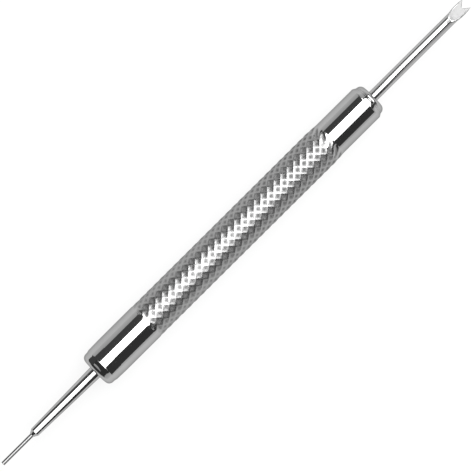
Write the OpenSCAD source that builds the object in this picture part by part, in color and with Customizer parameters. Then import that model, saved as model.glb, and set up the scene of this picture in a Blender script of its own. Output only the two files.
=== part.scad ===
// Double-ended spring bar tool: a knurled steel handle with a screwed-in fork at one end
// and a screwed-in pin at the other. The tool lies along X with its middle at the origin,
// the fork points along +X, and the fork's flats face +Z and -Z.

/* [Overall] */
// Length over both tips
overall_l = 138.5; // [130:0.5:150]
// Length of the fork outside the handle
fork_reach = 27.95; // [22:0.05:32]
// Length of the pin and its holder outside the handle
pin_reach = 27.65; // [22:0.05:32]

/* [Handle] */
// Diameter over the crests of the knurl
grip_d = 8.7; // [8.5:0.05:8.8]
// Length of the knurl, centred on the tool
grip_l = 52.1; // [40:0.1:56]
// Diameter of the smooth land at the pin end
pin_land_d = 8.8; // [8.5:0.05:9.5]
// Diameter that the pin land narrows to before its bevel
pin_nose_d = 8.66; // [8.5:0.02:8.8]
// Length over which the pin land narrows
pin_nose_l = 2.9; // [2:0.1:5]
// Length of the bevel that ends the pin land
pin_bevel_l = 0.35; // [0.2:0.05:1]
// Diameter of the pin end's collar behind the bevel
pin_collar_d = 8.48; // [8:0.02:8.5]
// Slope of the pin end's collar, in degrees
pin_collar_slope = 6; // [2:1:12]
// Length from the bevel to the pin end's face
pin_collar_l = 1.85; // [1.6:0.05:2.5]
// Radius of the round edge at the pin end
pin_corner_r = 1.15; // [0.5:0.05:1.4]
// Diameter of the smooth land at the fork end
fork_land_d = 8.3; // [8:0.05:8.5]
// Length of the cone between the knurl and the fork land
fork_cone_l = 2.6; // [1:0.1:4]
// Length of the bevel that ends the fork land
fork_bevel_l = 0.75; // [0.2:0.05:1.2]
// Diameter of the fork end's collar behind the bevel
fork_collar_d = 7.54; // [7.2:0.02:7.9]
// Slope of the fork end's collar, in degrees
fork_collar_slope = 14; // [2:1:18]
// Length from the bevel to the fork end's face
fork_collar_l = 1.3; // [1.2:0.05:2]
// Radius of the round edge at the fork end
fork_corner_r = 1.3; // [0.5:0.05:1.4]

/* [Screwed roots] */
// Outer diameter of the thread on both tips
thread_d = 2; // [1.6:0.1:2.1]
// Travel of a tip for each full turn
thread_pitch = 0.4; // [0.25:0.05:0.5]
// Turns that free a tip from the handle
thread_turns = 15; // [8:1:18]
// Radial running clearance of a root in its hole
thread_gap = 0.05; // [0.02:0.01:0.1]
// Outer diameter of the seat washers
washer_d = 3.6; // [3.2:0.1:4]
// Thickness of the seat washers
washer_t = 0.3; // [0.2:0.05:0.5]
// Radial clearance of a washer in its spot face
washer_gap = 0.05; // [0.03:0.01:0.1]

/* [Fork] */
// Diameter of the fork's rod
rod_d = 2.5; // [2.3:0.05:2.8]
// Width of the blade at its widest
blade_w = 2.85; // [2.6:0.05:3.4]
// Distance from the widest point to the tips
blade_tip_l = 2; // [1.6:0.1:3]
// Distance between the two sharp tips
tip_gap = 2.4; // [1.8:0.05:2.6]
// Depth of the V-notch between the tips
notch_l = 1.5; // [0.8:0.1:1.8]
// Thickness of the blade between its flats
blade_t = 0.8; // [0.5:0.05:1.2]
// Length of the blade's flats, from the tips
flat_l = 2.95; // [2.5:0.05:4.5]
// Radius of the ground scoop that runs from the rod down to each flat
scoop_r = 3; // [1.2:0.1:4]

/* [Pin] */
// Diameter of the needle
needle_d = 0.9; // [0.7:0.05:1]
// Length of the needle outside its holder
needle_reach = 8.65; // [5:0.05:10]
// Length of the needle's tapered seat, pressed into its holder
needle_seat = 6; // [4:0.5:8]
// Length over which the seat would lose 1 mm of diameter
seat_taper = 50; // [30:5:100]
// Diameter of the holder behind its chamfered mouth
holder_mouth_d = 2.1; // [1.8:0.05:2.4]
// Length of the chamfer at the holder's mouth
holder_chamfer_l = 0.9; // [0.4:0.1:1.5]
// Diameter of the holder at the handle
holder_root_d = 3; // [2.6:0.05:3.4]

/* [Hidden] */
$fn = 96;

// Places along the tool
fork_end_x = overall_l / 2;
pin_end_x = -overall_l / 2;
fork_face_x = fork_end_x - fork_reach;
pin_face_x = pin_end_x + pin_reach;

// Roots and the holes that take them
root_l = thread_turns * thread_pitch;
root_chamfer = 0.25;
relief_l = 0.5;
relief_depth = 0.2;
hole_spare_l = 1.2;
hole_r = thread_d / 2 + thread_gap;
drill_point_l = hole_r / tan(59);
washer_bore_r = hole_r;

// Radii of the needle's seat at the holder's mouth and at its inner end
seat_mouth_r = needle_d / 2;
seat_inner_r = seat_mouth_r - needle_seat / seat_taper / 2;

// Small finishing cuts
needle_chamfer = 0.08;
mouth_edge = 0.1;
blade_corner = 0.06;
cut_over = 1;

// Radius of the arcs that swell the blade from the rod to its widest point
swell_drop = (blade_w - tip_gap) / 2 - blade_corner;
swell_r = (blade_tip_l * blade_tip_l + swell_drop * swell_drop) / (2 * swell_drop);

// Turns a shape drawn along Z so that it lies along X
module along_x() {
    rotate([0, 90, 0]) children();
}

// Half outline of a sloping collar of length l that ends in a flat face at y = 0 with an edge of
// radius r; wide_r is the collar's radius at y = l
module collar_outline(wide_r, l, slope, r) {
    arc_l = r * (1 - sin(slope));
    narrow_r = wide_r - (l - arc_l) * tan(slope);
    centre_r = narrow_r - r * cos(slope);
    polygon([
        [0, arc_l],
        [narrow_r, arc_l],
        [wide_r, l],
        [0, l]
    ]);
    square([centre_r, arc_l]);
    intersection() {
        translate([centre_r, r]) circle(r = r);
        translate([centre_r, 0]) square([r, arc_l]);
    }
}

// Half outline of the handle's outside, radius along X and the tool's length along Y
module handle_outline() {
    grip_half = grip_l / 2;
    pin_collar_x = pin_face_x + pin_collar_l;
    pin_bevel_x = pin_collar_x + pin_bevel_l;
    fork_collar_x = fork_face_x - fork_collar_l;
    fork_bevel_x = fork_collar_x - fork_bevel_l;
    translate([0, -grip_half]) square([grip_d / 2, grip_l]);
    polygon([
        [0, pin_collar_x],
        [pin_collar_d / 2, pin_collar_x],
        [pin_nose_d / 2, pin_bevel_x],
        [pin_land_d / 2, pin_bevel_x + pin_nose_l],
        [pin_land_d / 2, -grip_half],
        [0, -grip_half]
    ]);
    translate([0, pin_face_x]) collar_outline(pin_collar_d / 2, pin_collar_l, pin_collar_slope, pin_corner_r);
    polygon([
        [0, grip_half],
        [grip_d / 2, grip_half],
        [fork_land_d / 2, grip_half + fork_cone_l],
        [fork_land_d / 2, fork_bevel_x],
        [fork_collar_d / 2, fork_collar_x],
        [0, fork_collar_x]
    ]);
    translate([0, fork_face_x]) mirror([0, 1])
        collar_outline(fork_collar_d / 2, fork_collar_l, fork_collar_slope, fork_corner_r);
}

// Half outline of a tapped hole with its spot face and drill point, opening towards +Y at y = 0
module hole_outline() {
    hole_l = root_l + hole_spare_l;
    translate([0, -washer_t]) square([washer_d / 2 + washer_gap, washer_t + cut_over]);
    polygon([
        [0, -hole_l - drill_point_l],
        [hole_r, -hole_l],
        [hole_r, cut_over],
        [0, cut_over]
    ]);
}

module handle() {
    color([0.72, 0.73, 0.75])
    along_x() rotate_extrude() difference() {
        handle_outline();
        translate([0, fork_face_x]) hole_outline();
        translate([0, pin_face_x]) mirror([0, 1]) hole_outline();
    }
}

// Flat ring whose outer face lies at z = 0
module seat_washer() {
    rotate_extrude() translate([washer_bore_r, -washer_t])
        square([washer_d / 2 - washer_bore_r, washer_t]);
}

module fork_seat_washer() {
    color([0.82, 0.82, 0.83])
    translate([fork_face_x, 0, 0]) along_x() seat_washer();
}

module pin_seat_washer() {
    color([0.82, 0.82, 0.83])
    translate([pin_face_x, 0, 0]) mirror([1, 0, 0]) along_x() seat_washer();
}

// Screwed root that runs back from a shoulder at z = 0, with a relief under the shoulder
module screwed_root() {
    rotate_extrude() polygon([
        [0, -root_l],
        [thread_d / 2 - root_chamfer, -root_l],
        [thread_d / 2, -root_l + root_chamfer],
        [thread_d / 2, -relief_l - relief_depth],
        [thread_d / 2 - relief_depth, -relief_l],
        [thread_d / 2 - relief_depth, 0],
        [0, 0]
    ]);
}

// Plan of the fork's blade, swollen by two arcs and notched by a V, with its tips at x = 0
module blade_plan() {
    arc_y = swell_r - blade_w / 2;
    difference() {
        intersection() {
            translate([-flat_l - scoop_r, -blade_w / 2]) square([flat_l + scoop_r, blade_w]);
            translate([-blade_tip_l, arc_y]) circle(r = swell_r);
            translate([-blade_tip_l, -arc_y]) circle(r = swell_r);
        }
        polygon([
            [-notch_l, 0],
            [0, tip_gap / 2],
            [cut_over, tip_gap / 2],
            [cut_over, -tip_gap / 2],
            [0, -tip_gap / 2]
        ]);
    }
}

// Cylinder across the blade whose lowest line touches the foot of the flat on one side
module scoop(side) {
    translate([-flat_l, 0, side * (blade_t / 2 + scoop_r)])
        rotate([90, 0, 0]) cylinder(r = scoop_r, h = 2 * rod_d, center = true);
}

module fork_tip() {
    color([0.86, 0.86, 0.87]) {
        translate([fork_face_x, 0, 0]) along_x() screwed_root();
        translate([fork_end_x, 0, 0]) {
            difference() {
                translate([-fork_reach, 0, 0]) along_x() cylinder(d = rod_d, h = fork_reach - flat_l);
                scoop(1);
                scoop(-1);
            }
            translate([0, 0, -blade_t / 2]) linear_extrude(blade_t) blade_plan();
        }
    }
}

module pin_holder() {
    holder_l = pin_reach - needle_reach;
    color([0.70, 0.71, 0.73])
    translate([pin_face_x, 0, 0]) mirror([1, 0, 0]) along_x() {
        screwed_root();
        rotate_extrude() polygon([
            [0, 0],
            [holder_root_d / 2, 0],
            [holder_mouth_d / 2, holder_l - holder_chamfer_l],
            [seat_mouth_r + mouth_edge, holder_l],
            [seat_mouth_r, holder_l],
            [seat_inner_r, holder_l - needle_seat],
            [0, holder_l - needle_seat]
        ]);
    }
}

module needle() {
    color([0.80, 0.80, 0.82])
    translate([pin_end_x, 0, 0]) along_x() rotate_extrude() polygon([
        [0, 0],
        [needle_d / 2 - needle_chamfer, 0],
        [needle_d / 2, needle_chamfer],
        [seat_mouth_r, needle_reach],
        [seat_inner_r, needle_reach + needle_seat],
        [0, needle_reach + needle_seat]
    ]);
}

handle();
fork_seat_washer();
fork_tip();
pin_seat_washer();
pin_holder();
needle();
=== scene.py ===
import math

import bpy
from mathutils import Matrix, Vector


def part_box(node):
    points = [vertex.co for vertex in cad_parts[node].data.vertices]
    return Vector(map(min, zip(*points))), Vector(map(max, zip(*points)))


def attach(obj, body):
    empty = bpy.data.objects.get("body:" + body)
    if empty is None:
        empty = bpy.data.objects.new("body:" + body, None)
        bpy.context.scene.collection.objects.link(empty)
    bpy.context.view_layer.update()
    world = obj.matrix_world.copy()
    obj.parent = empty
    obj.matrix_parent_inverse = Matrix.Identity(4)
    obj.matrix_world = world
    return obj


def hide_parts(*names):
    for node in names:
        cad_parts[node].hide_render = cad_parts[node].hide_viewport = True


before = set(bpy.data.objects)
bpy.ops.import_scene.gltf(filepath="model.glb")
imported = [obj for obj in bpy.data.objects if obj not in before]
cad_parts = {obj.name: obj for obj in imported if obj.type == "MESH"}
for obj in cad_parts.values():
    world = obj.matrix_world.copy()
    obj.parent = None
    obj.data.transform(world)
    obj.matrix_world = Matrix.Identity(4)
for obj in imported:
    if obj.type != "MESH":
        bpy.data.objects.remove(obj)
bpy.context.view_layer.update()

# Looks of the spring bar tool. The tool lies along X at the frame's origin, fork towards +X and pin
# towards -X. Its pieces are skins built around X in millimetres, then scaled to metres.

MM = 0.001
TURN = 2 * math.pi


# ---- Sizes ------------------------------------------------------------------------------------

def span_mm(node):
    """Lowest and highest corner of a CAD node, in millimetres."""
    low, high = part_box(node)
    return low / MM, high / MM


HANDLE_LOW, HANDLE_HIGH = span_mm("handle")
FORK_HIGH = span_mm("fork_tip")[1]
HOLDER_LOW, HOLDER_HIGH = span_mm("pin_holder")
NEEDLE_LOW, NEEDLE_HIGH = span_mm("needle")
WASHER_LOW, WASHER_HIGH = span_mm("fork_seat_washer")

PIN_FACE_X = HANDLE_LOW.x
FORK_FACE_X = HANDLE_HIGH.x
PIN_LAND_R = HANDLE_HIGH.y

# Handle
GRIP_R = 4.35
GRIP_HALF = 26.05
PIN_NOSE_R = 4.33
PIN_NOSE_L = 2.9
PIN_BEVEL_L = 0.35
PIN_COLLAR = {"wide_r": 4.24, "length": 1.85, "slope_deg": 6, "edge_r": 1.15}
FORK_LAND_R = 4.15
FORK_CONE_L = 2.6
FORK_BEVEL_L = 0.75
FORK_COLLAR = {"wide_r": 3.77, "length": 1.3, "slope_deg": 14, "edge_r": 1.3}

# Fine lines turned where the fork end's collar starts and ends
LINE_HALF_W = 0.095
LINE_DEPTH = 0.062

# Knurl: two hands of V-shaped grooves, side by side at nearly 50 degrees to the axis. The bar is
# pressed in only where both hands bite, so crossing ridges stand round diamond pits.
STARTS = 12
AXIAL_PERIOD = 1.955
KNURL_PHASE = (0.5, 0.7)
GROOVE_HALF_W = 0.5
PIT_DEPTH = 0.145
# How much lower the second hand's ridges are than the first's, as a share of the pits' depth
LEAD = 0.2
# How hard the grooves bite near the pin end and at the fork end, and how that varies between them
BITE = (0.95, 1.35)
LIGHTEST_BITE = 0.92
BITE_SPREAD = 0.16
# Where each hand's grooves start and end at the earliest, each up to END_SCATTER further on
GROOVE_FROM = (-GRIP_HALF, -GRIP_HALF + 0.5)
GROOVE_TO = (GRIP_HALF + 1.9, GRIP_HALF + 0.5)
END_SCATTER = 0.3
# Where a groove fades in and out, measured from its start and its end
START_FADE = (-0.7, 0.2)
END_FADE = (-0.6, 0.6)
# Stretches over which the crossed knurl comes in and goes out, and the single grooves that run out
# past it: their depth, and the share of the full width that is left at their tips
CROSSED_IN = (-GRIP_HALF - 0.3, -GRIP_HALF + 1)
CROSSED_OUT = (GRIP_HALF - 0.4, GRIP_HALF + 1.2)
RUN_OUT_DEPTH = 0.08
RUN_OUT_WIDTH = 0.45
# How worn the ridges look, from 0 to 1, and how far the pits' painted shade keeps to their middles
CREST_WEAR = 0.3
PIT_SHADE = 2.0
# Mesh steps in one period
STEPS = 20

# Screwed roots
PITCH = 0.4
ROOT_R = 1.0
ROOT_L = 6.0
ROOT_CHAMFER = 0.3
ROOT_FIRST_STEP = 0.06
THREAD_DEPTH = 0.23
THREAD_END_L = 0.2
RINGS_PER_TURN = 8
RELIEF_R = 0.8
RELIEF_L = 0.5
RELIEF_FILLET_L = 0.08
RELIEF_FILLET_H = 0.06

# Tapped holes, deeper than the roots, and the spots sunk round them for the washers
HOLE_R = 1.05
HOLE_SPARE_L = 1.2
DRILL_POINT_L = 0.63
HOLE_THREAD_L = 3.0
HOLE_THREAD_DEPTH = 0.10
HOLE_THREAD_RINGS = 40
HOLE_THREAD_GAP = 0.15
HOLE_MOUTH_L = 0.12
HOLE_MOUTH_H = 0.1
SPOT_R = 1.85
SPOT_EDGE = 0.06

# Seat washers, with a fine line turned in their outer face
WASHER_T = WASHER_HIGH.x - WASHER_LOW.x
WASHER_R = WASHER_HIGH.y
WASHER_EDGE = 0.05
WASHER_LINE_R = 1.5
WASHER_LINE_HALF_W = 0.05
WASHER_LINE_DEPTH = 0.03

# Fork
ROD_R = FORK_HIGH.z
ROD_EDGE = 0.05
BLADE_HALF_W = FORK_HIGH.y
BLADE_HALF_T = 0.4
BLADE_TIP_L = 2.0
BLADE_EDGE = 0.35
TIP_HALF_GAP = 1.2
TIP_LAND = 0.06
NOTCH_L = 1.5
FLAT_L = 2.95
SCOOP_R = 3.0
NOTCH_EDGE = 0.14
NOTCH_BEVEL = 0.3

# Pin
NEEDLE_R = NEEDLE_HIGH.y
NEEDLE_EDGE = 0.05
HOLDER_ROOT_R = HOLDER_HIGH.y
HOLDER_EDGE = 0.06
HOLDER_MOUTH_R = 1.05
HOLDER_CHAMFER_L = 0.9
MOUTH_EDGE = 0.1
MOUTH_GAP = 0.01
SEAT_INNER_R = 0.39
SEAT_GAP = 0.005


# ---- Mesh building ----------------------------------------------------------------------------

class Skin:
    """Collects rings of points around X and the faces between them."""

    def __init__(self):
        self.points = []
        self.faces = []
        self.slots = []

    def add(self, point):
        self.points.append(point)
        return len(self.points) - 1

    def ring(self, x, radius, count):
        """A ring at x, with radius a number or a function of x and the angle."""
        made = []
        for k in range(count):
            angle = TURN * k / count
            r = radius(x, angle) if callable(radius) else radius
            made.append(self.add((x, r * math.cos(angle), r * math.sin(angle))))
        return made

    def face(self, corners, slot):
        self.faces.append(corners)
        self.slots.append(slot)

    def bridge(self, a, b, slot=0, closed=True):
        """Quads from ring a to ring b, facing outwards where b lies further along X."""
        count = len(a)
        for k in range(count if closed else count - 1):
            n = (k + 1) % count
            corners = dict.fromkeys((a[k], a[n], b[n], b[k]))
            self.face(tuple(corners), slot)

    def cap(self, ring, slot):
        """Closes a ring that faces +X with a fan around its middle."""
        x = sum(self.points[i][0] for i in ring) / len(ring)
        y = sum(self.points[i][1] for i in ring) / len(ring)
        z = sum(self.points[i][2] for i in ring) / len(ring)
        centre = self.add((x, y, z))
        for k in range(len(ring)):
            self.face((ring[k], ring[(k + 1) % len(ring)], centre), slot)

    def lathe(self, stations, count, from_ring=None):
        """Bridges rings at each (x, radius) station in order, and returns the last ring. Radius 0
        closes the skin in a point."""
        last = from_ring
        for x, radius in stations:
            new = [self.add((x, 0, 0))] * count if radius == 0 else self.ring(x, radius, count)
            if last is not None:
                self.bridge(last, new)
            last = new
        return last

    def build(self, name, materials, crease_deg=32):
        """A smooth-shaded object in metres, sharp where its faces meet past crease_deg."""
        mesh = bpy.data.meshes.new(name)
        scaled = [(x * MM, y * MM, z * MM) for x, y, z in self.points]
        mesh.from_pydata(scaled, [], self.faces)
        for material in materials:
            mesh.materials.append(material)
        mesh.polygons.foreach_set("material_index", self.slots)
        mesh.polygons.foreach_set("use_smooth", [True] * len(self.faces))
        mesh.validate()
        mesh.update()
        mesh.set_sharp_from_angle(angle=math.radians(crease_deg))
        piece = bpy.data.objects.new(name, mesh)
        bpy.context.scene.collection.objects.link(piece)
        return piece


def arc(cx, cr, radius, start_deg, end_deg, steps):
    """Stations of a round corner centred at (cx, cr), by angle from the +X direction."""
    made = []
    for k in range(steps + 1):
        a = math.radians(start_deg + (end_deg - start_deg) * k / steps)
        made.append((cx + radius * math.cos(a), cr + radius * math.sin(a)))
    return made


def line(x0, r0, x1, r1, steps):
    """Stations along a straight stretch, without its first point."""
    return [(x0 + (x1 - x0) * k / steps, r0 + (r1 - r0) * k / steps) for k in range(1, steps + 1)]


def eased(points, reach=0.06, steps=5):
    """The same outline with each inner corner replaced by a short curve, without repeated points."""
    made = [points[0]]
    for before, corner, after in zip(points, points[1:], points[2:]):
        starts = [toward(corner, other, reach) for other in (before, after)]
        made.append(toward(corner, before, reach * 4))
        for k in range(steps + 1):
            t = k / steps
            weights = ((1 - t) ** 2, 2 * t * (1 - t), t ** 2)
            curve = (starts[0], corner, starts[1])
            made.append(tuple(sum(w * p[axis] for w, p in zip(weights, curve)) for axis in (0, 1)))
        made.append(toward(corner, after, reach * 4))
    made.append(points[-1])
    return made[:1] + [point for last, point in zip(made, made[1:]) if math.dist(last, point) > 1e-6]


def toward(a, b, distance):
    """The point at a distance from a on the way to b, at most half way."""
    share = min(0.5, distance / math.dist(a, b))
    return a[0] + (b[0] - a[0]) * share, a[1] + (b[1] - a[1]) * share


def smoothstep(a, b, x):
    """Eases from 0 at a to 1 at b."""
    t = min(1.0, max(0.0, (x - a) / (b - a)))
    return t * t * (3 - 2 * t)


def between(come_in, go_out, x):
    """Eases from 0 to 1 over one stretch of x, and back to 0 over a later one."""
    return smoothstep(*come_in, x) * (1 - smoothstep(*go_out, x))


def soft_min(a, b, k):
    """The smaller of a and b, rounded over about k where they cross."""
    h = max(k - abs(a - b), 0.0) / k
    return min(a, b) - h * h * k / 4


def noise(n):
    """A repeatable number from 0 to 1 for each whole number."""
    value = math.sin(n * 12.9898 + 4.1414) * 43758.5453
    return value - math.floor(value)


# ---- Materials --------------------------------------------------------------------------------

class Nodes:
    """Short calls for building a node material."""

    def __init__(self, name):
        self.material = bpy.data.materials.new(name)
        self.material.use_nodes = True
        self.tree = self.material.node_tree
        self.shader = self.tree.nodes["Principled BSDF"]
        self.coords = self.make("ShaderNodeTexCoord").outputs["Object"]

    def make(self, kind, **inputs):
        node = self.tree.nodes.new(kind)
        for name, value in inputs.items():
            node.inputs[name].default_value = value
        return node

    def join(self, source, target):
        self.tree.links.new(source, target)

    def set(self, **values):
        for name, value in values.items():
            self.shader.inputs[name.replace("_", " ")].default_value = value

    def steel(self):
        """Metal whose reflection stays grey at grazing angles, as oxidised steel's does."""
        self.set(Metallic=1.0, Specular_Tint=(0.5, 0.5, 0.5, 1))

    def noise(self, scale, stretch=(1, 1, 1), detail=3.0):
        """Noise over the object's own metres, stretched along its axes."""
        mapping = self.make("ShaderNodeMapping")
        mapping.inputs["Scale"].default_value = stretch
        self.join(self.coords, mapping.inputs["Vector"])
        node = self.make("ShaderNodeTexNoise", Scale=scale, Detail=detail)
        self.join(mapping.outputs["Vector"], node.inputs["Vector"])
        return node.outputs["Fac"]

    def ramp(self, source, low, high, start=0.3, end=0.7):
        """Maps a 0 to 1 value to a range, straight between start and end."""
        node = self.make("ShaderNodeMapRange")
        node.inputs["From Min"].default_value = start
        node.inputs["From Max"].default_value = end
        node.inputs["To Min"].default_value = low
        node.inputs["To Max"].default_value = high
        self.join(source, node.inputs["Value"])
        return node.outputs["Result"]

    def blend_colours(self, factor, a, b):
        node = self.make("ShaderNodeMix")
        node.data_type = "RGBA"
        self.join(factor, node.inputs["Factor"])
        node.inputs[6].default_value = (*a, 1)
        node.inputs[7].default_value = (*b, 1)
        return node.outputs[2]

    def bump(self, height, strength, distance, normal=None):
        node = self.make("ShaderNodeBump", Strength=strength, Distance=distance)
        self.join(height, node.inputs["Height"])
        if normal is not None:
            self.join(normal, node.inputs["Normal"])
        return node.outputs["Normal"]


def grey(value):
    return value, value, value


# Stretches of the noise that draw it out into lines along the tool and rings round it
AXIAL_LINES = (1, 60, 60)
RING_LINES = (60, 1, 1)

# How deep the finest marks are
POLISH_MARKS = 0.02 * MM
GRAIN_MARKS = 0.03 * MM
GRINDING_MARKS = 0.04 * MM

CREST_ROUGHNESS = 0.07
GROOVE_ROUGHNESS = 0.64


def polished_steel(name, dark, light, rough, ring_marks=0.05, long_marks=0.05):
    """Mirror-polished steel with faint turning rings, lengthwise wipe marks and smudges."""
    n = Nodes(name)
    smudge = n.noise(160, detail=4.0)
    n.join(n.blend_colours(n.ramp(smudge, 0, 1), dark, light), n.shader.inputs["Base Color"])
    wipe = n.noise(90, AXIAL_LINES, detail=5.0)
    n.join(n.ramp(wipe, rough * 0.7, rough * 1.5), n.shader.inputs["Roughness"])
    rings = n.noise(120, RING_LINES, detail=6.0)
    first = n.bump(rings, ring_marks, POLISH_MARKS)
    n.join(n.bump(wipe, long_marks, POLISH_MARKS, first), n.shader.inputs["Normal"])
    n.steel()
    return n.material


def knurled_steel_with_pit_shade(name, dark, light):
    """Pressed steel, polished where untouched, duller and darker on worn ridges, and darker still in
    its pits and grooves from painted shade.
    """
    n = Nodes(name)
    # The attribute holds wear on the ridges and painted shade in the pits and grooves; it darkens the
    # colour and raises the roughness
    attribute = n.make("ShaderNodeAttribute")
    attribute.attribute_name = "wear_and_pit_shade"
    wear_and_pit_shade = attribute.outputs["Fac"]
    grain = n.noise(900, detail=5.0)
    n.join(n.blend_colours(wear_and_pit_shade, light, dark), n.shader.inputs["Base Color"])
    n.join(n.ramp(wear_and_pit_shade, CREST_ROUGHNESS, GROOVE_ROUGHNESS, 0.0, 1.0), n.shader.inputs["Roughness"])
    n.join(n.bump(grain, 0.12, GRAIN_MARKS), n.shader.inputs["Normal"])
    n.steel()
    return n.material


def ground_steel(name, dark, light):
    """Satin steel with fine lengthwise grinding lines."""
    n = Nodes(name)
    lines = n.noise(220, AXIAL_LINES, detail=6.0)
    n.join(n.blend_colours(n.ramp(lines, 0, 1), dark, light), n.shader.inputs["Base Color"])
    n.join(n.ramp(lines, 0.52, 0.66), n.shader.inputs["Roughness"])
    n.join(n.bump(lines, 0.25, GRINDING_MARKS), n.shader.inputs["Normal"])
    n.steel()
    return n.material


HANDLE_STEEL = polished_steel("handle_polished", grey(0.40), grey(0.45), 0.03, 0.01, 0.02)
# The darker grey is painted shade at the bottom of the knurl's pits and grooves
KNURL_STEEL = knurled_steel_with_pit_shade("handle_knurl_pit_shade", grey(0.17), grey(0.43))
ROD_STEEL = polished_steel("fork_polished", grey(0.43), grey(0.48), 0.06)
FLAT_STEEL = ground_steel("fork_ground", grey(0.30), grey(0.36))
HOLDER_STEEL = polished_steel("holder_polished", grey(0.40), grey(0.46), 0.055)
NEEDLE_STEEL = polished_steel("needle_ground", grey(0.20), grey(0.26), 0.12)
WASHER_STEEL = polished_steel("washer_turned", grey(0.50), grey(0.58), 0.16, ring_marks=0.3)


# ---- Handle -----------------------------------------------------------------------------------

# The knurl's grid, with an even number of rows on each side of the middle. It reaches over the
# fork end's cone, and PIN_MARGIN_L past the grip at the pin end.
PIN_MARGIN_L = 0.9
ROW = AXIAL_PERIOD / STEPS
COLUMNS = STARTS * STEPS
RIM_COUNT = COLUMNS // 2
FIRST_ROW = -2 * round((GRIP_HALF + PIN_MARGIN_L) / ROW / 2)
LAST_ROW = 2 * round((GRIP_HALF + FORK_CONE_L) / ROW / 2)
KNURL_FROM = FIRST_ROW * ROW
KNURL_TO = LAST_ROW * ROW
# Keeps the noise that each groove takes for its start, its end and its bite apart
NOISE_APART = 50


def base_radius(x):
    """Radius of the turned bar around the knurl, before the grooves are pressed."""
    pin_side = GRIP_R + (PIN_LAND_R - GRIP_R) * smoothstep(-GRIP_HALF + 0.1, -GRIP_HALF - 0.6, x)
    taper = (x - GRIP_HALF) / FORK_CONE_L
    fork_side = GRIP_R - (GRIP_R - FORK_LAND_R) * min(1.0, max(0.0, taper))
    return pin_side if x < 0 else fork_side


def groove(phase, x, hand):
    """Depth of one hand's groove, from 0 on its ridges to about 1 on its floor. Phase counts the
    grooves, and each gets narrower and shallower where it runs out."""
    index = round(phase)
    offset = abs(phase - index)
    number = index % STARTS + hand * STARTS
    start = GROOVE_FROM[hand] + END_SCATTER * noise(number)
    end = GROOVE_TO[hand] + END_SCATTER * noise(number + NOISE_APART)
    come_in = [start + step for step in START_FADE]
    go_out = [end + step for step in END_FADE]
    fade = between(come_in, go_out, x)
    low, high = BITE
    bite = low + (high - low) * smoothstep(-0.5 * GRIP_HALF, GRIP_HALF, x)
    bite *= LIGHTEST_BITE + BITE_SPREAD * noise(number + 2 * NOISE_APART)
    width = GROOVE_HALF_W * (RUN_OUT_WIDTH + (1 - RUN_OUT_WIDTH) * fade)
    return fade * bite * max(0.0, 1 - offset / width)


def knurl_shape(x, angle):
    """Depth of the knurl under the bar in mm, and the ridges' wear plus the pits' painted shade, from
    0 up.
    """
    along = x / AXIAL_PERIOD
    around = angle * STARTS / TURN
    phases = along + around - KNURL_PHASE[0], along - around - KNURL_PHASE[1]
    pressed = [groove(phase, x, hand) for hand, phase in enumerate(phases)]
    crossed = between(CROSSED_IN, CROSSED_OUT, x)
    pit = min(pressed)
    pit += LEAD * (pressed[0] - pit)
    run_out = (1 - crossed) * max(pressed)
    depth = PIT_DEPTH * pit + RUN_OUT_DEPTH * run_out
    # Wear on the ridges, plus painted shade that darkens the pits and the run-out grooves
    wear_and_pit_shade = CREST_WEAR * crossed + (1 - CREST_WEAR) * max(pit, run_out) ** PIT_SHADE
    return depth, wear_and_pit_shade


def knurled_band(skin, first, slot):
    """Grid of small diamonds whose edges run along the ridges, from ring first to the one returned."""
    rows = LAST_ROW - FIRST_ROW
    at = {(0, 2 * k): vertex for k, vertex in enumerate(first)}
    for i in range(1, rows + 1):
        x = (FIRST_ROW + i) * ROW
        for j in range(i % 2, COLUMNS, 2):
            angle = TURN * j / COLUMNS
            r = base_radius(x) - knurl_shape(x, angle)[0]
            at[i, j] = skin.add((x, r * math.cos(angle), r * math.sin(angle)))
    for i in range(rows + 1):
        for j in range((i + 1) % 2, COLUMNS, 2):
            left, right = at.get((i, (j - 1) % COLUMNS)), at.get((i, (j + 1) % COLUMNS))
            below, above = at.get((i - 1, j)), at.get((i + 1, j))
            corners = [c for c in (below, left, above, right) if c is not None]
            skin.face(corners[::-1], slot)
    return [at[rows, 2 * k] for k in range(RIM_COUNT)]


def thread_phase(x, angle):
    """0 on the crest of the right-hand thread and 1 on its root."""
    turns = x / PITCH - angle / TURN
    return 2 * abs(turns - round(turns))


def threaded(crest_r, depth):
    """Radius of a thread as a function of x and the angle, for Skin.ring."""
    return lambda x, angle: crest_r - depth * thread_phase(x, angle)


def tapped_hole(face_x, out):
    """Stations from the drill point out to the handle's face, out being 1 towards +X. The thread
    is cut outwards from the hole's wall, and fades in and out."""
    floor_x = face_x - out * (ROOT_L + HOLE_SPARE_L)
    stations = [(floor_x - out * DRILL_POINT_L, 0), (floor_x, HOLE_R)]
    thread_from = face_x - out * HOLE_THREAD_L
    stations.append((thread_from, HOLE_R))
    seat_x = face_x - out * WASHER_T
    thread_to = seat_x - out * HOLE_THREAD_GAP
    for k in range(1, HOLE_THREAD_RINGS):
        share = k / HOLE_THREAD_RINGS
        cut = HOLE_THREAD_DEPTH * min(1.0, 4 * share, 4 * (1 - share))
        stations.append((thread_from + (thread_to - thread_from) * share, threaded(HOLE_R + cut, cut)))
    stations += [(seat_x - out * HOLE_MOUTH_L, HOLE_R), (seat_x, HOLE_R + HOLE_MOUTH_H)]
    stations += [(seat_x, SPOT_R), (face_x - out * SPOT_EDGE, SPOT_R), (face_x, SPOT_R + SPOT_EDGE)]
    return stations


def turned_line(x, radius):
    """Stations of a fine V-shaped line cut round the bar."""
    return [(x - LINE_HALF_W, radius), (x, radius - LINE_DEPTH), (x + LINE_HALF_W, radius)]


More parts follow.
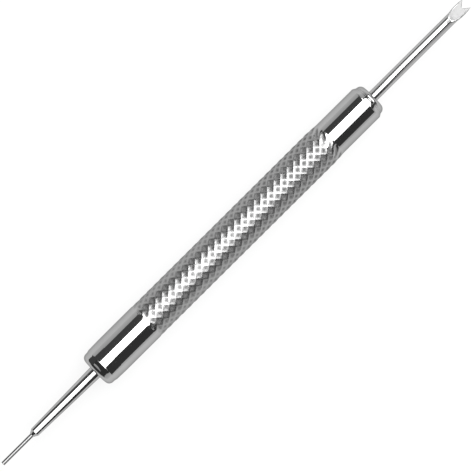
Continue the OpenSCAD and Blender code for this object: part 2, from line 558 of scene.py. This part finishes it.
def collar(face_x, out, wide_r, length, slope_deg, edge_r):
    """Stations of a sloping collar's round edge, from its start out to the flat face."""
    slope = math.radians(slope_deg)
    round_l = edge_r * (1 - math.sin(slope))
    centre_r = wide_r - (length - round_l) * math.tan(slope) - edge_r * math.cos(slope)
    made = arc(face_x - edge_r, centre_r, edge_r, 90 - slope_deg, 0, 16)
    return [(face_x + out * (x - face_x), r) for x, r in made]


def pin_end():
    """Stations of the pin end, from its hole out round the collar and along the land to the knurl."""
    crease_x = PIN_FACE_X + PIN_COLLAR["length"]
    bevel_x = crease_x + PIN_BEVEL_L
    edge = collar(PIN_FACE_X, -1, **PIN_COLLAR)[::-1]
    face = line(PIN_FACE_X, SPOT_R + SPOT_EDGE, *edge[0], 2)
    land = eased([
        (crease_x - 0.3, edge[-1][1]), (crease_x, PIN_COLLAR["wide_r"]),
        (bevel_x, PIN_NOSE_R), (bevel_x + PIN_NOSE_L, PIN_LAND_R), (KNURL_FROM, PIN_LAND_R),
    ])
    return tapped_hole(PIN_FACE_X, -1) + face + edge[1:] + land[1:]


def fork_end():
    """Stations of the fork end, from the knurl along the land and round the collar into its hole."""
    crease = (FORK_FACE_X - FORK_COLLAR["length"], FORK_COLLAR["wide_r"])
    land = eased([(KNURL_TO, FORK_LAND_R), (crease[0] - FORK_BEVEL_L, FORK_LAND_R), crease])
    edge = collar(FORK_FACE_X, 1, **FORK_COLLAR)
    lines = turned_line(*crease) + turned_line(*edge[0])
    face = line(*edge[-1], FORK_FACE_X, SPOT_R + SPOT_EDGE, 2)
    return land[1:-1] + lines + edge[1:] + face + tapped_hole(FORK_FACE_X, 1)[::-1][1:]


def store_wear_and_pit_shade(piece, points):
    """Stores the ridges' wear plus the painted shade of the pits and grooves at each point, for the
    knurl's material.
    """
    shade = piece.data.attributes.new("wear_and_pit_shade", "FLOAT", "POINT")
    values = []
    for x, y, z in points:
        outside = math.hypot(y, z) > 2 * HOLE_R
        knurled = outside and KNURL_FROM < x < KNURL_TO
        values.append(min(1.0, knurl_shape(x, math.atan2(z, y))[1]) if knurled else 0.0)
    shade.data.foreach_set("value", values)


def make_handle():
    skin = Skin()
    ring = skin.lathe(pin_end(), RIM_COUNT)
    ring = knurled_band(skin, ring, 1)
    skin.lathe(fork_end(), RIM_COUNT, ring)
    piece = skin.build("handle_bar", [HANDLE_STEEL, KNURL_STEEL], 40)
    store_wear_and_pit_shade(piece, skin.points)
    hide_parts("handle")
    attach(piece, "handle")


# ---- Tips and washers -------------------------------------------------------------------------

# Points in a ring of the washers and the pin holder, of the fork and of the needle
TIP_COUNT = 48
FORK_COUNT = 64
NEEDLE_COUNT = 32


def root_stations(face_x, out):
    """Stations of a threaded root from its inner end out to the shoulder at face_x. The thread
    fades in behind a chamfer and out before the relief."""
    inner_x = face_x - out * ROOT_L
    thread_end = face_x - out * (RELIEF_L + THREAD_END_L)
    low = ROOT_CHAMFER - ROOT_FIRST_STEP
    stations = [(inner_x, 0), (inner_x, ROOT_R - ROOT_CHAMFER)]
    stations.append((inner_x + out * ROOT_FIRST_STEP, ROOT_R - low))
    rings = round(RINGS_PER_TURN * (ROOT_L - RELIEF_L - THREAD_END_L) / PITCH)
    for k in range(1, rings):
        share = k / rings
        x = inner_x + (thread_end - inner_x) * share
        depth = THREAD_DEPTH * min(1.0, 8 * share, 12 * (1 - share))
        crest_r = ROOT_R - low * max(0.0, 1 - 16 * share)
        stations.append((x, threaded(crest_r, depth)))
    stations += [(thread_end, ROOT_R - 0.02), (face_x - out * RELIEF_L, RELIEF_R)]
    stations += [(face_x - out * RELIEF_FILLET_L, RELIEF_R), (face_x, RELIEF_R + RELIEF_FILLET_H)]
    return stations


def make_washer(name, node, body, face_x, out):
    """A washer whose outer face is at face_x, out being 1 towards +X."""
    edge = out * WASHER_EDGE
    inner, outer = face_x - out * WASHER_T, face_x
    profile = [
        (inner, HOLE_R + WASHER_EDGE), (inner, WASHER_R - WASHER_EDGE), (inner + edge, WASHER_R),
        (outer - edge, WASHER_R), (outer, WASHER_R - WASHER_EDGE),
        (outer, WASHER_LINE_R + WASHER_LINE_HALF_W), (outer - out * WASHER_LINE_DEPTH, WASHER_LINE_R),
        (outer, WASHER_LINE_R - WASHER_LINE_HALF_W), (outer, HOLE_R + WASHER_EDGE),
        (outer - edge, HOLE_R), (inner + edge, HOLE_R),
    ]
    skin = Skin()
    rings = [skin.ring(x, r, TIP_COUNT) for x, r in profile]
    for ring, following in zip(rings, rings[1:] + rings[:1]):
        if out > 0:
            skin.bridge(ring, following)
        else:
            skin.bridge(following, ring)
    piece = skin.build(name, [WASHER_STEEL])
    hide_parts(node)
    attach(piece, body)


def blade_half_width(x):
    """Half width of the fork at x, swollen by one arc from the rod to the tips."""
    widest_x = FORK_HIGH.x - BLADE_TIP_L
    drop = BLADE_HALF_W - TIP_HALF_GAP - TIP_LAND
    radius = (BLADE_TIP_L ** 2 + drop ** 2) / (2 * drop)
    swell = BLADE_HALF_W - radius + math.sqrt(radius ** 2 - (x - widest_x) ** 2)
    return max(swell, ROD_R) if x < widest_x else swell


def half_height(x):
    """Half thickness of the fork at x: round rod, then the ground scoop, then the flats."""
    foot_x = FORK_HIGH.x - FLAT_L
    if x >= foot_x:
        return BLADE_HALF_T
    reach = foot_x - x
    if reach >= SCOOP_R:
        return ROD_R
    return min(ROD_R, BLADE_HALF_T + SCOOP_R - math.sqrt(SCOOP_R ** 2 - reach ** 2))


def fork_section(x, angle):
    """A point of the fork's outline: the rod's oval cut off above and below by the flats."""
    width, height = blade_half_width(x), half_height(x)
    y = width * math.cos(angle)
    z = ROD_R * math.sin(angle)
    if height < ROD_R:
        z = math.copysign(soft_min(abs(z), height, BLADE_EDGE), z)
    return y, z


NOTCH_X = FORK_HIGH.x - NOTCH_L
SCOOP_X = FORK_HIGH.x - FLAT_L - SCOOP_R


def make_fork():
    skin = Skin()
    stations = root_stations(FORK_FACE_X, 1)
    stations += [(FORK_FACE_X, ROD_R - ROD_EDGE), (FORK_FACE_X + ROD_EDGE, ROD_R)]
    stations += line(FORK_FACE_X + ROD_EDGE, ROD_R, SCOOP_X, ROD_R, 12)
    ring = skin.lathe(stations, FORK_COUNT)
    steps = 48
    for k in range(1, steps + 1):
        x = SCOOP_X + (NOTCH_X - SCOOP_X) * k / steps
        new = []
        for j in range(FORK_COUNT):
            new.append(skin.add((x, *fork_section(x, TURN * j / FORK_COUNT))))
        skin.bridge(ring, new, 1)
        ring = new
    quarter = FORK_COUNT // 4
    for side in (1, -1):
        start = -side * quarter
        half = [ring[(start + j) % FORK_COUNT] for j in range(2 * quarter + 1)]
        tine(skin, half, side, start)
    piece = skin.build("fork_rod_and_blade", [ROD_STEEL, FLAT_STEEL])
    flats_only(piece)
    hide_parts("fork_tip")
    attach(piece, "fork")


def tine(skin, half, side, start):
    """One side of the notch, from the half ring at its bottom to the sharp tip. The half ring
    begins at point start of the full one."""
    wall_steps = 4
    steps = 14

    def wall(x, y, first, last):
        """Points down the notch's wall between the half ring's last and first points."""
        z0, z1 = skin.points[last][2], skin.points[first][2]
        return [skin.add((x, y, z0 + (z1 - z0) * k / wall_steps)) for k in range(1, wall_steps)]

    outline = half
    inner = wall(NOTCH_X, 0.0, half[0], half[-1])
    for s in range(1, steps + 1):
        share = s / steps
        x = NOTCH_X + NOTCH_L * share
        inner_y = TIP_HALF_GAP * share
        outer_y = blade_half_width(x)
        new = []
        for j in range(len(half)):
            y, z = fork_section(x, TURN * (start + j) / FORK_COUNT)
            reach = (outer_y - inner_y) * abs(y) / outer_y
            y = side * (inner_y + reach)
            z *= 1 - NOTCH_BEVEL * max(0.0, 1 - reach / NOTCH_EDGE)
            new.append(skin.add((x, y, z)))
        skin.bridge(outline, new, 1, closed=False)
        new_inner = wall(x, side * inner_y, new[0], new[-1])
        skin.bridge([outline[-1], *inner, outline[0]], [new[-1], *new_inner, new[0]], 1, closed=False)
        outline, inner = new, new_inner
    skin.cap([*outline, *inner], 1)


# A face counts as level, and as up on the flats, from these shares of upright and of full height
FLAT_NORMAL_Z = 0.75
ON_FLAT = 0.98


def flats_only(piece):
    """Leaves the ground finish on the flats and scoops, and the polish on the round sides."""
    for polygon in piece.data.polygons:
        x, z = polygon.center.x / MM, polygon.center.z / MM
        level = x > SCOOP_X and abs(polygon.normal.z) > FLAT_NORMAL_Z
        at_top = abs(z) >= half_height(x) * ON_FLAT
        polygon.material_index = 1 if level and (at_top or x > NOTCH_X) else 0


def make_holder():
    skin = Skin()
    mouth_x = HOLDER_LOW.x
    edge_x = PIN_FACE_X - HOLDER_EDGE
    chamfer_x = mouth_x + HOLDER_CHAMFER_L
    body = [(PIN_FACE_X, HOLDER_ROOT_R - HOLDER_EDGE), (edge_x, HOLDER_ROOT_R)]
    body += line(edge_x, HOLDER_ROOT_R, chamfer_x, HOLDER_MOUTH_R, 16)
    body += line(chamfer_x, HOLDER_MOUTH_R, mouth_x, NEEDLE_R + MOUTH_EDGE, 4)
    seat_x = NEEDLE_HIGH.x + SEAT_GAP
    bore = [(mouth_x, NEEDLE_R + MOUTH_GAP), (seat_x, SEAT_INNER_R + SEAT_GAP), (seat_x, 0)]
    skin.lathe((root_stations(PIN_FACE_X, -1) + body + bore)[::-1], TIP_COUNT)
    piece = skin.build("pin_holder_shank", [HOLDER_STEEL], 20)
    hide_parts("pin_holder")
    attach(piece, "pin")


def make_needle():
    skin = Skin()
    end_x, inner_x = NEEDLE_LOW.x, NEEDLE_HIGH.x
    shank_x = end_x + NEEDLE_EDGE * 2
    stations = [(end_x, 0), (end_x, NEEDLE_R - NEEDLE_EDGE)]
    stations += arc(end_x + NEEDLE_EDGE, NEEDLE_R - NEEDLE_EDGE, NEEDLE_EDGE, 180, 90, 4)[1:]
    stations.append((shank_x, NEEDLE_R))
    stations += line(shank_x, NEEDLE_R, HOLDER_LOW.x, NEEDLE_R, 12)
    stations += line(HOLDER_LOW.x, NEEDLE_R, inner_x, SEAT_INNER_R, 4)
    stations.append((inner_x, 0))
    skin.lathe(stations, NEEDLE_COUNT)
    piece = skin.build("needle_pin", [NEEDLE_STEEL])
    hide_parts("needle")
    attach(piece, "pin")


# ---- Studio -----------------------------------------------------------------------------------

FLOOR_Z = HANDLE_LOW.z * MM
FLOOR_HALF = 6.0
SOFTBOX_Z = 0.6
SOFTBOX_FROM_X = -0.155
SOFTBOX_TO_X = 1.6
SOFTBOX_W = 1.0
SOFTBOX_RADIANCE = 4.0

# Dark flags hang between the softbox and the tool. Each has stations, from the pin end to the fork
# end or from near to far: a place along it, and the angles of its two edges from straight up.
CARD_R = SOFTBOX_Z * 0.8
END_CARD_R = SOFTBOX_Z * 0.95
# The flags step where the fork land's reflection of them ends and the fork rod's begins
LAND_SEEN = 0.071
ROD_SEEN = 0.075
FLAG_FAR = (
    (-0.40, 55, 89), (-0.112, 36, 89), (-0.084, 22, 68), (-0.07, 21, 62), (LAND_SEEN, 26, 62),
    (ROD_SEEN, 56, 76), (0.12, 58, 76), (0.15, 27, 34), (0.40, 30, 37), (0.90, 42, 50),
)
FLAG_NEAR = (
    (-0.40, -30, -56), (-0.135, -30, -58), (-0.12, -50, -89), (-0.112, -46, -89), (-0.084, -22, -84),
    (-0.07, -20, -77), (LAND_SEEN, -27, -77), (ROD_SEEN, -17, -48), (0.12, -16, -46), (0.15, -36, -62),
    (0.40, -40, -66), (0.90, -52, -84),
)
# The end flag shows in the pin end's collar, and the seams in the fork end's
FLAG_END = ((-0.75, -11, -70), (2.2, -38, -80))
SEAM_LOW = ((-0.26, 30, 39), (0.26, 30, 39))
SEAM_HIGH = ((-0.2, 68, 88), (0.2, 68, 88))

AXIS_DEG = 44.8
FRAME_W = 0.1001
LENS = 300
SENSOR = 36
SHIFT_RIGHT = 0.00029
SHIFT_UP = -0.00049


def plain_material(name, shade, glow):
    """Matt, nearly even grey that glows by itself."""
    n = Nodes(name)
    grain = n.ramp(n.noise(3.0), 0, 1)
    n.join(n.blend_colours(grain, grey(shade), grey(shade * 0.995)), n.shader.inputs["Base Color"])
    n.set(Roughness=1.0, Specular_IOR_Level=0.0, Emission_Strength=glow)
    n.shader.inputs["Emission Color"].default_value = (1, 1, 1, 1)
    return n.material


def stage_mesh(name, points, faces, material):
    """A mesh of the studio, which isn't part of the tool."""
    mesh = bpy.data.meshes.new(name)
    mesh.from_pydata(points, [], faces)
    mesh.materials.append(material)
    made = bpy.data.objects.new(name, mesh)
    bpy.context.scene.collection.objects.link(made)
    return made


def make_floor():
    sides = ((-1, -1), (1, -1), (1, 1), (-1, 1))
    corners = [(x * FLOOR_HALF, y * FLOOR_HALF, FLOOR_Z) for x, y in sides]
    stage_mesh("floor", corners, [(0, 1, 2, 3)], plain_material("floor_pale", 0.09, 0.84))


def card(name, across, stations, middle, radius, material):
    """A card bent round the tool and seen only in reflections. It bends towards the axis named
    across. Each station is a place along the other axis and the card's two edges there, in
    degrees from straight up."""
    steps = 10
    points, faces = [], []
    for place, low, high in stations:
        for k in range(steps + 1):
            a = math.radians(low + (high - low) * k / steps)
            reach, z = middle + radius * math.sin(a), radius * math.cos(a)
            points.append((place, reach, z) if across == "Y" else (reach, place, z))
    for row in range(len(stations) - 1):
        for k in range(steps):
            first = row * (steps + 1) + k
            faces.append((first, first + 1, first + steps + 2, first + steps + 1))
    made = stage_mesh(name, points, faces, material)
    made.visible_camera = False
    made.visible_shadow = False
    made.visible_diffuse = False


def area_light(name, place, size_x, size_y, radiance):
    """A light that faces straight down and whose face has the given radiance."""
    data = bpy.data.lights.new(name, "AREA")
    data.shape = "RECTANGLE"
    data.size, data.size_y = size_x, size_y
    data.energy = radiance * math.pi * size_x * size_y
    made = bpy.data.objects.new(name, data)
    bpy.context.scene.collection.objects.link(made)
    made.location = place
    made.visible_camera = False


def make_lights():
    """One big softbox overhead, mostly beyond the fork end, seen between dark flags."""
    length = SOFTBOX_TO_X - SOFTBOX_FROM_X
    middle = ((SOFTBOX_FROM_X + SOFTBOX_TO_X) / 2, 0, SOFTBOX_Z)
    area_light("softbox", middle, length, SOFTBOX_W, SOFTBOX_RADIANCE)
    far_dark = plain_material("flag_far_dark", 0.012, 0.085)
    near_dark = plain_material("flag_near_dark", 0.012, 0.05)
    card("flag_far", "Y", FLAG_FAR, 0.0, CARD_R, far_dark)
    card("flag_near", "Y", FLAG_NEAR, 0.0, CARD_R, near_dark)
    card("flag_end", "X", FLAG_END, PIN_FACE_X * MM, END_CARD_R, near_dark)
    card("seam_low", "X", SEAM_LOW, FORK_FACE_X * MM, CARD_R, near_dark)
    card("seam_high", "X", SEAM_HIGH, FORK_FACE_X * MM, CARD_R, near_dark)


def make_world():
    """Grey room, paler towards the horizon."""
    world = bpy.data.worlds.new("studio")
    world.use_nodes = True
    nodes, links = world.node_tree.nodes, world.node_tree.links
    coords = nodes.new("ShaderNodeTexCoord")
    split = nodes.new("ShaderNodeSeparateXYZ")
    height = nodes.new("ShaderNodeMapRange")
    for name, value in (("From Max", 0.4), ("To Min", 0.9), ("To Max", 0.68)):
        height.inputs[name].default_value = value
    links.new(coords.outputs["Generated"], split.inputs["Vector"])
    links.new(split.outputs["Z"], height.inputs["Value"])
    links.new(height.outputs["Result"], nodes["Background"].inputs["Color"])
    bpy.context.scene.world = world


def make_camera():
    """Looks straight down, far off on a long lens, with the tool running up to the right."""
    turn = math.radians(AXIS_DEG)
    right = Vector((math.cos(turn), -math.sin(turn), 0))
    up = Vector((math.sin(turn), math.cos(turn), 0))
    data = bpy.data.cameras.new("camera")
    data.lens, data.sensor_width = LENS, SENSOR
    data.clip_start, data.clip_end = 0.01, 20
    made = bpy.data.objects.new("camera", data)
    bpy.context.scene.collection.objects.link(made)
    distance = FRAME_W * LENS / SENSOR
    made.location = right * SHIFT_RIGHT + up * SHIFT_UP + Vector((0, 0, distance))
    made.rotation_mode = "QUATERNION"
    made.rotation_quaternion = Matrix((right, up, Vector((0, 0, 1)))).transposed().to_quaternion()
    bpy.context.scene.camera = made


# ---- Scene ------------------------------------------------------------------------------------

make_handle()
make_washer("fork_washer_ring", "fork_seat_washer", "fork_seat", FORK_FACE_X, 1)
make_washer("pin_washer_ring", "pin_seat_washer", "pin_seat", PIN_FACE_X, -1)
make_fork()
make_holder()
make_needle()
make_floor()
make_lights()
make_world()
make_camera()
bpy.context.scene.view_settings.view_transform = "Standard"
